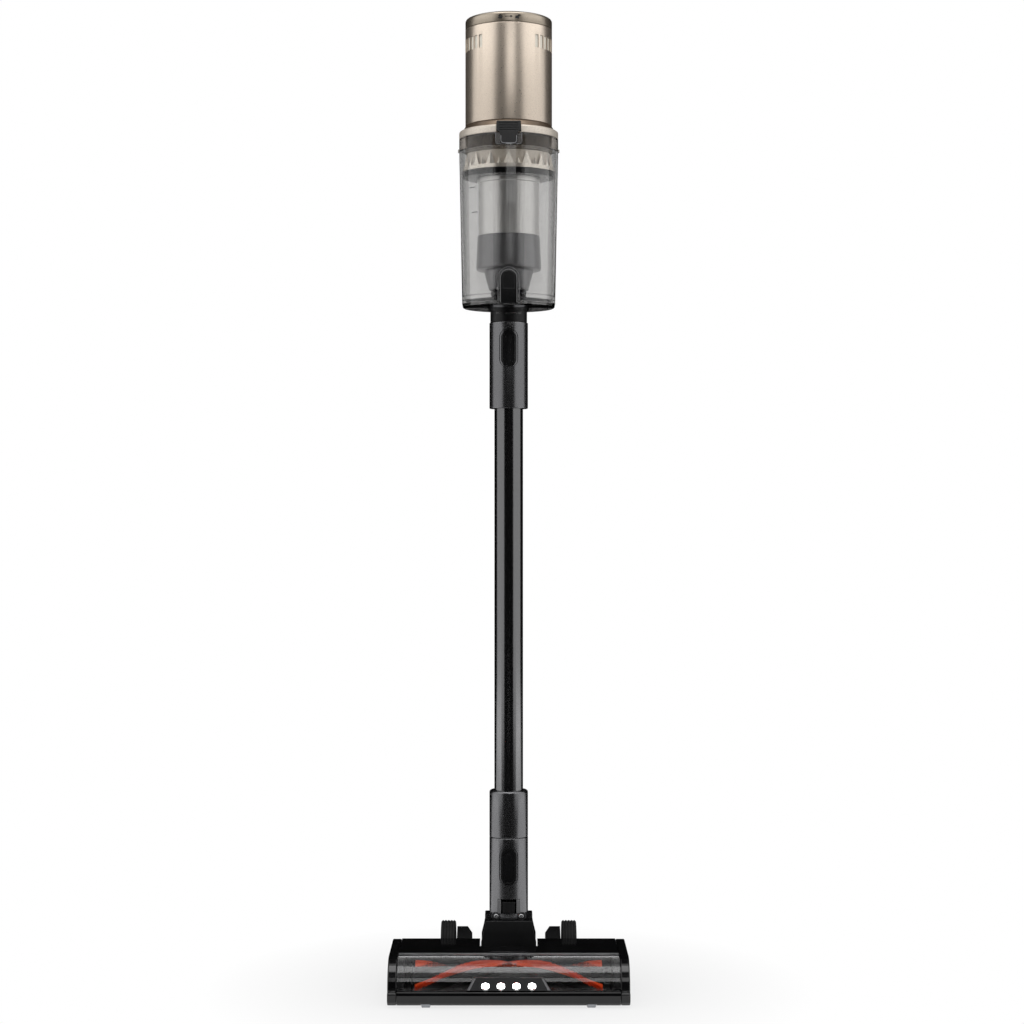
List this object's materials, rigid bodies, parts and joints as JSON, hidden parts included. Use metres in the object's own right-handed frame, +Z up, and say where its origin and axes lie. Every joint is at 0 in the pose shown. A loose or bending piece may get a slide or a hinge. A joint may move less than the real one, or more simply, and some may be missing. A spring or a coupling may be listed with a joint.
{
  "type": "cordless stick vacuum",
  "caption": "Upright cordless stick vacuum: hand unit with a clear dust cup, straight wand, jointed neck and a floor head with a lit roller window.",
  "frame": {"origin": "on the floor, under the axis of the wand", "axes": "+Z up along the wand, the front of the floor head and of the dust cup face -Y"},
  "size_m": [0.26, 0.263, 1.063],
  "materials": {
    "black_satin": "satin moulded plastic",
    "black_gloss": "polished moulded plastic",
    "grey_plastic": "satin moulded plastic, very dark grey",
    "clear_window": "clear, lightly smoked",
    "smoky_clear": "clear, smoked",
    "smoky_rim": "clear, dark smoked",
    "lamp": "emissive",
    "motor_metal": "machined",
    "rubber": "matte",
    "wheel_rubber": "matte",
    "bristle": "nylon bristle",
    "orange_strip": "soft strip, orange",
    "pale_grey": "satin",
    "black_tube": "semi-gloss black coating",
    "champagne": "metallic champagne paint, satin",
    "champagne_grain": "metallic champagne paint, grained",
    "steel_mesh": "etched mesh sheet",
    "pin_steel": "polished pin",
    "filter_cream": "pleated filter paper",
    "filter_foam": "open foam",
    "circuit_board": "green circuit board"
  },
  "bodies": {
    "floor_head": {"head_base": "black_satin", "head_top_cover": "black_gloss", "brush_window": "clear_window", "front_bumper": "black_gloss", "led_housing": "grey_plastic", "led_strip": "lamp", "end_cap_left": "black_gloss", "brush_motor": "motor_metal", "drive_belt": "rubber", "hair_comb": "black_satin"},
    "side_cap": {"end_cap_right": "black_gloss"},
    "brush_roller": {"brush_core": "black_satin", "brush_strip_1": "orange_strip", "brush_strip_2": "orange_strip", "brush_strip_3": "orange_strip", "bristle_row_1": "bristle", "bristle_row_2": "bristle", "bristle_row_3": "bristle"},
    "motor_drive": {"motor_pulley": "motor_metal"},
    "wheel_left": {"rear_wheel_left": "wheel_rubber"},
    "wheel_right": {"rear_wheel_right": "wheel_rubber"},
    "roller_left": {"front_roller_left": "pale_grey"},
    "roller_right": {"front_roller_right": "pale_grey"},
    "yoke": {"neck_yoke": "black_satin"},
    "neck": {"neck_tube": "grey_plastic", "upright_catch": "black_satin"},
    "neck_release": {"neck_button": "black_satin"},
    "wand": {"lower_sleeve": "grey_plastic", "wand_tube": "black_tube", "upper_sleeve": "grey_plastic"},
    "wand_release": {"wand_button": "black_satin"},
    "hand_unit": {"body_spine": "black_satin", "motor_housing": "champagne", "collar_ring": "champagne_grain", "motor_frame": "black_satin", "motor": "motor_metal", "handle_shell_left": "black_satin", "handle_shell_right": "black_satin", "grip_pad": "rubber", "display_lens": "black_gloss", "control_board": "circuit_board"},
    "fan": {"impeller": "motor_metal"},
    "trigger_lever": {"trigger": "grey_plastic"},
    "mode_key": {"mode_button": "grey_plastic"},
    "battery": {"battery_pack": "black_satin"},
    "battery_release": {"battery_button": "grey_plastic"},
    "exhaust": {"exhaust_filter": "filter_cream"},
    "cap": {"filter_cap": "champagne"},
    "cup": {"dust_cup": "smoky_clear", "cup_rim": "smoky_rim", "cyclone_crown": "champagne", "separator_plate": "rubber", "mesh_filter": "steel_mesh", "cyclone_skirt": "black_satin", "pre_filter": "filter_foam", "door_pin": "pin_steel"},
    "door": {"cup_door": "smoky_clear", "door_gasket": "rubber"},
    "door_catch": {"door_latch": "black_satin"},
    "cup_catch": {"cup_latch": "black_satin"}
  },
  "joints": [
    {"name": "side_cap_pull", "type": "slide", "parent": "floor_head", "child": "side_cap", "axis": [1, 0, 0], "range_m": [0, 0.03]},
    {"name": "brush_spin", "type": "hinge", "parent": "floor_head", "child": "brush_roller", "pos_m": [0, -0.074, 0.0235], "axis": [1, 0, 0], "continuous": true},
    {"name": "brush_motor_spin", "type": "hinge", "parent": "floor_head", "child": "motor_drive", "pos_m": [0, -0.022, 0.024], "axis": [1, 0, 0], "continuous": true},
    {"name": "wheel_left_spin", "type": "hinge", "parent": "floor_head", "child": "wheel_left", "pos_m": [-0.0685, 0.0455, 0.0316], "axis": [1, 0, 0], "continuous": true},
    {"name": "wheel_right_spin", "type": "hinge", "parent": "floor_head", "child": "wheel_right", "pos_m": [0.0685, 0.0455, 0.0316], "axis": [1, 0, 0], "continuous": true},
    {"name": "roller_left_spin", "type": "hinge", "parent": "floor_head", "child": "roller_left", "pos_m": [-0.0886, -0.103, 0.0062], "axis": [1, 0, 0], "continuous": true},
    {"name": "roller_right_spin", "type": "hinge", "parent": "floor_head", "child": "roller_right", "pos_m": [0.0886, -0.103, 0.0062], "axis": [1, 0, 0], "continuous": true},
    {"name": "neck_tilt", "type": "hinge", "parent": "floor_head", "child": "yoke", "pos_m": [0, 0.005, 0.038], "axis": [-1, 0, 0], "range_deg": [0, 80]},
    {"name": "neck_swivel", "type": "hinge", "parent": "yoke", "child": "neck", "pos_m": [0, 0, 0.062], "axis": [0, 1, 0], "range_deg": [-35, 35]},
    {"name": "neck_button_press", "type": "slide", "parent": "neck", "child": "neck_release", "axis": [0, 1, 0], "range_m": [0, 0.0018], "stiffness_N_per_m": 400, "springref_m": -0.001},
    {"name": "wand_lift", "type": "slide", "parent": "neck", "child": "wand", "axis": [0, 0, 1], "range_m": [0, 0.045]},
    {"name": "wand_button_press", "type": "slide", "parent": "wand", "child": "wand_release", "axis": [0, 1, 0], "range_m": [0, 0.0018], "stiffness_N_per_m": 400, "springref_m": -0.001},
    {"name": "unit_lift", "type": "slide", "parent": "wand", "child": "hand_unit", "axis": [0, 0, 1], "range_m": [0, 0.045]},
    {"name": "fan_spin", "type": "hinge", "parent": "hand_unit", "child": "fan", "pos_m": [0, -0.078, 0.96], "axis": [0, 0, 1], "continuous": true},
    {"name": "trigger_press", "type": "slide", "parent": "hand_unit", "child": "trigger_lever", "axis": [0, 1, 0], "range_m": [0, 0.004], "stiffness_N_per_m": 500, "springref_m": -0.002},
    {"name": "mode_button_press", "type": "slide", "parent": "hand_unit", "child": "mode_key", "axis": [0, 0, -1], "range_m": [0, 0.001], "stiffness_N_per_m": 400, "springref_m": -0.001},
    {"name": "battery_slide", "type": "slide", "parent": "hand_unit", "child": "battery", "axis": [0, 1, 0], "range_m": [0, 0.06]},
    {"name": "battery_button_press", "type": "slide", "parent": "battery", "child": "battery_release", "axis": [0, -1, 0], "range_m": [0, 0.0015], "stiffness_N_per_m": 400, "springref_m": -0.001},
    {"name": "filter_lift", "type": "slide", "parent": "hand_unit", "child": "exhaust", "axis": [0, 0, 1], "range_m": [0, 0.04]},
    {"name": "cap_twist", "type": "hinge", "parent": "exhaust", "child": "cap", "pos_m": [0, -0.078, 1.055], "axis": [0, 0, 1], "range_deg": [0, 28]},
    {"name": "cup_slide", "type": "slide", "parent": "hand_unit", "child": "cup", "axis": [0, 0, -1], "range_m": [0, 0.03]},
    {"name": "door_hinge", "type": "hinge", "parent": "cup", "child": "door", "pos_m": [0, -0.0265, 0.7515], "axis": [1, 0, 0], "range_deg": [0, 80]},
    {"name": "door_latch_press", "type": "hinge", "parent": "cup", "child": "door_catch", "pos_m": [0, -0.126, 0.767], "axis": [-1, 0, 0], "range_deg": [0, 8], "stiffness_Nm_per_rad": 0.4, "springref_deg": -2.86},
    {"name": "cup_latch_press", "type": "slide", "parent": "hand_unit", "child": "cup_catch", "axis": [0, 1, 0], "range_m": [0, 0.0012], "stiffness_N_per_m": 400, "springref_m": -0.001}
  ],
  "couplings": [
    {"joint": "brush_motor_spin", "follows": "brush_spin", "ratio": 2}
  ]
}
